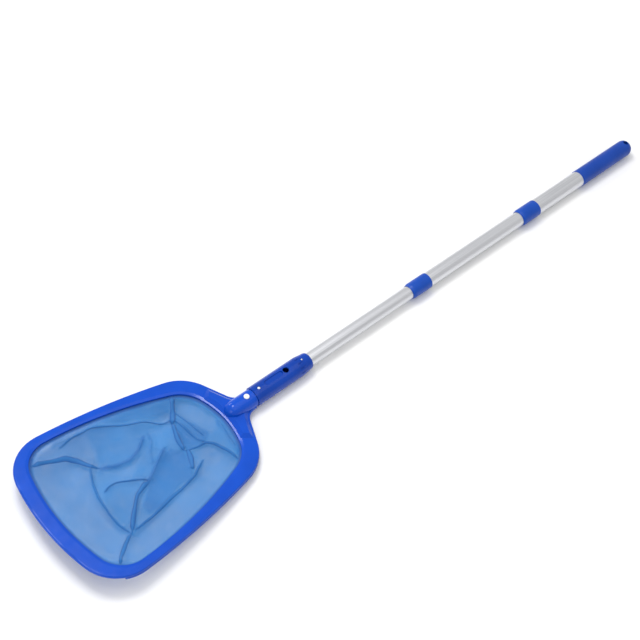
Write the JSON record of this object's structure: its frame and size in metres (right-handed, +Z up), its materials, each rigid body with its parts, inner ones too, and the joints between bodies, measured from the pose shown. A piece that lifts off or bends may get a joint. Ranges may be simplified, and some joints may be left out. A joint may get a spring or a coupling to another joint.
{
  "type": "leaf skimmer net",
  "caption": "Leaf skimmer: a flat rounded frame with a fine mesh net, clipped on a telescopic twist-lock aluminium pole with collars and a soft end grip.",
  "frame": {"origin": "on the floor under the middle of the whole length", "axes": "+X along the pole from the head to the grip, +Y across, +Z up"},
  "size_m": [1.2053, 0.2512, 0.0383],
  "materials": {
    "rim_plastic": "glossy moulded polypropylene",
    "adapter_plastic": "semi-gloss moulded plastic",
    "collar_plastic": "satin moulded plastic",
    "grip_plastic": "satin soft plastic",
    "tube_aluminium": "anodised satin",
    "button_plastic": "white moulded plastic",
    "net_mesh": "fine woven mesh",
    "hem_bead": "matt",
    "steel": "plain",
    "nylon": "natural nylon"
  },
  "bodies": {
    "handle_section": {"outer_tube": "tube_aluminium", "outer_collar": "collar_plastic", "outer_bushing": "nylon", "grip_sleeve": "grip_plastic", "tube_end_plug": "nylon"},
    "outer_lock": {"outer_cam_ring": "nylon"},
    "middle_section": {"middle_tube": "tube_aluminium", "inner_collar": "collar_plastic", "inner_bushing": "nylon", "outer_cam_plug": "nylon", "outer_cam_screw": "steel"},
    "inner_lock": {"inner_cam_ring": "nylon"},
    "inner_section": {"inner_tube": "tube_aluminium", "inner_cam_plug": "nylon", "inner_cam_screw": "steel", "pole_adapter": "adapter_plastic", "adapter_rivet": "steel", "head_frame": "rim_plastic", "retaining_ring": "rim_plastic", "hem_cord": "hem_bead", "net_bag": "net_mesh", "ring_screws": "steel", "clip_spring": "steel"},
    "top_clip": {"press_button_top": "button_plastic", "lock_pin_top": "button_plastic"},
    "bottom_clip": {"press_button_bottom": "button_plastic", "lock_pin_bottom": "button_plastic"}
  },
  "joints": [
    {"name": "outer_telescope", "type": "slide", "parent": "handle_section", "child": "outer_lock", "axis": [1, 0, 0], "range_m": [0, 0.192]},
    {"name": "outer_twist", "type": "hinge", "parent": "outer_lock", "child": "middle_section", "pos_m": [0.365, 0, 0.0153], "axis": [1, 0, 0], "range_deg": [0, 120]},
    {"name": "inner_telescope", "type": "slide", "parent": "middle_section", "child": "inner_lock", "axis": [1, 0, 0], "range_m": [0, 0.2]},
    {"name": "inner_twist", "type": "hinge", "parent": "inner_lock", "child": "inner_section", "pos_m": [0.121, 0, 0.0153], "axis": [1, 0, 0], "range_deg": [0, 120]},
    {"name": "top_clip_press", "type": "slide", "parent": "inner_section", "child": "top_clip", "axis": [0, 0, -1], "range_m": [0, 0.0028], "stiffness_N_per_m": 1500, "springref_m": -0.001, "deforming": ["clip_spring"]},
    {"name": "bottom_clip_press", "type": "slide", "parent": "inner_section", "child": "bottom_clip", "axis": [0, 0, 1], "range_m": [0, 0.0028], "stiffness_N_per_m": 1500, "springref_m": -0.001, "deforming": ["clip_spring"]}
  ]
}
